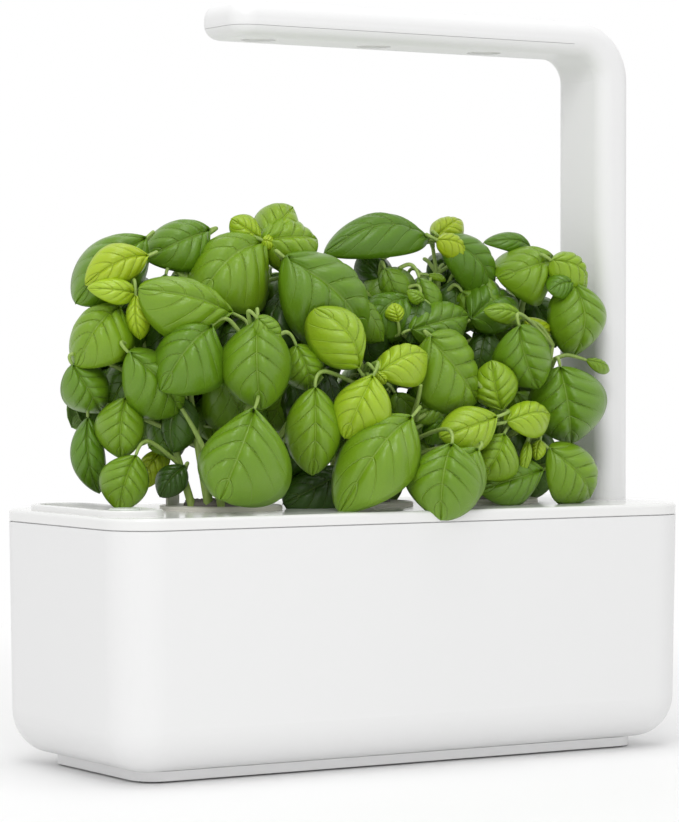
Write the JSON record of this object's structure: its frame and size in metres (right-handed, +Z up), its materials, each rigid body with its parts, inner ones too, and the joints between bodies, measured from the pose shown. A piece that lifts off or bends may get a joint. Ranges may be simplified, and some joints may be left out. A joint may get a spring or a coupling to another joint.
{
  "type": "countertop hydroponic garden",
  "caption": "White tabletop water tank with a lift-off lid, plant pods and a plug-together arm that carries a slim grow lamp above the leaves.",
  "frame": {"origin": "on the table, under the middle of the tank", "axes": "+Z up, +X along the tank towards the lamp arm, -Y to the front"},
  "size_m": [0.3, 0.125, 0.341],
  "materials": {
    "white_tank_plastic": "satin",
    "white_arm_plastic": "satin",
    "white_inner_plastic": "matte",
    "grey_rubber": "matte",
    "foam": "matte",
    "float_cap_plastic": "satin",
    "cup_plastic": "satin",
    "collar_plastic": "matte",
    "growing_medium": "rough",
    "wick_felt": "matte",
    "basil_leaf": "satin",
    "marker_plastic": "matte",
    "black_plastic": "satin",
    "contact_brass": "polished",
    "wire_copper": "satin",
    "lens_diffuser": "frosted",
    "circuit_board": "satin",
    "led_package": "satin",
    "screw_steel": "satin"
  },
  "bodies": {
    "tank": {"water_tank": "white_tank_plastic", "base_foot": "white_tank_plastic", "anti_slip_pads": "grey_rubber"},
    "lid": {"lid_tray": "white_tank_plastic", "filler_collar": "white_tank_plastic", "float_guide": "white_inner_plastic", "arm_socket": "white_inner_plastic"},
    "float": {"float_body": "foam", "float_rod": "white_inner_plastic", "float_cap": "float_cap_plastic"},
    "pod_1": {"pod_cup_1": "cup_plastic", "pod_collar_1": "collar_plastic", "growing_medium_1": "growing_medium", "wick_1": "wick_felt", "basil_1": "basil_leaf", "plant_marker": "marker_plastic"},
    "pod_2": {"pod_cup_2": "cup_plastic", "pod_collar_2": "collar_plastic", "growing_medium_2": "growing_medium", "wick_2": "wick_felt", "basil_2": "basil_leaf"},
    "pod_3": {"pod_cup_3": "cup_plastic", "pod_collar_3": "collar_plastic", "growing_medium_3": "growing_medium", "wick_3": "wick_felt", "basil_3": "basil_leaf"},
    "arm_base": {"arm_base_shell": "white_arm_plastic", "arm_base_spigot": "white_inner_plastic", "arm_base_socket": "white_inner_plastic", "arm_base_wires": "wire_copper", "dc_jack": "black_plastic", "dc_pin": "contact_brass"},
    "extension_lower": {"extension_lower_shell": "white_arm_plastic", "extension_lower_plug": "white_inner_plastic", "extension_lower_contact_pins": "contact_brass", "extension_lower_socket": "white_inner_plastic", "extension_lower_wires": "wire_copper"},
    "extension_upper": {"extension_upper_shell": "white_arm_plastic", "extension_upper_plug": "white_inner_plastic", "extension_upper_contact_pins": "contact_brass", "extension_upper_socket": "white_inner_plastic", "extension_upper_wires": "wire_copper"},
    "lamp": {"lamp_housing": "white_arm_plastic", "lamp_cover": "white_arm_plastic", "lamp_plug": "white_inner_plastic", "lamp_contact_pins": "contact_brass", "lamp_wires": "wire_copper", "lens_1": "lens_diffuser", "lens_2": "lens_diffuser", "lens_3": "lens_diffuser", "led_board": "circuit_board", "led_chips": "led_package", "timer_board": "circuit_board", "timer_components": "black_plastic", "board_screws": "screw_steel"}
  },
  "joints": [
    {"name": "lid_lift", "type": "slide", "parent": "tank", "child": "lid", "axis": [0, 0, 1], "range_m": [0, 0.09]},
    {"name": "float_rise", "type": "slide", "parent": "lid", "child": "float", "axis": [0, 0, 1], "range_m": [0, 0.018]},
    {"name": "pod_1_lift", "type": "slide", "parent": "lid", "child": "pod_1", "axis": [0, 0, 1], "range_m": [0, 0.06]},
    {"name": "pod_2_lift", "type": "slide", "parent": "lid", "child": "pod_2", "axis": [0, 0, 1], "range_m": [0, 0.06]},
    {"name": "pod_3_lift", "type": "slide", "parent": "lid", "child": "pod_3", "axis": [0, 0, 1], "range_m": [0, 0.06]},
    {"name": "arm_base_lift", "type": "slide", "parent": "lid", "child": "arm_base", "axis": [0, 0, 1], "range_m": [0, 0.03]},
    {"name": "extension_lower_lift", "type": "slide", "parent": "arm_base", "child": "extension_lower", "axis": [0, 0, 1], "range_m": [0, 0.03]},
    {"name": "extension_upper_lift", "type": "slide", "parent": "extension_lower", "child": "extension_upper", "axis": [0, 0, 1], "range_m": [0, 0.03]},
    {"name": "lamp_lift", "type": "slide", "parent": "extension_upper", "child": "lamp", "axis": [0, 0, 1], "range_m": [0, 0.03]}
  ]
}
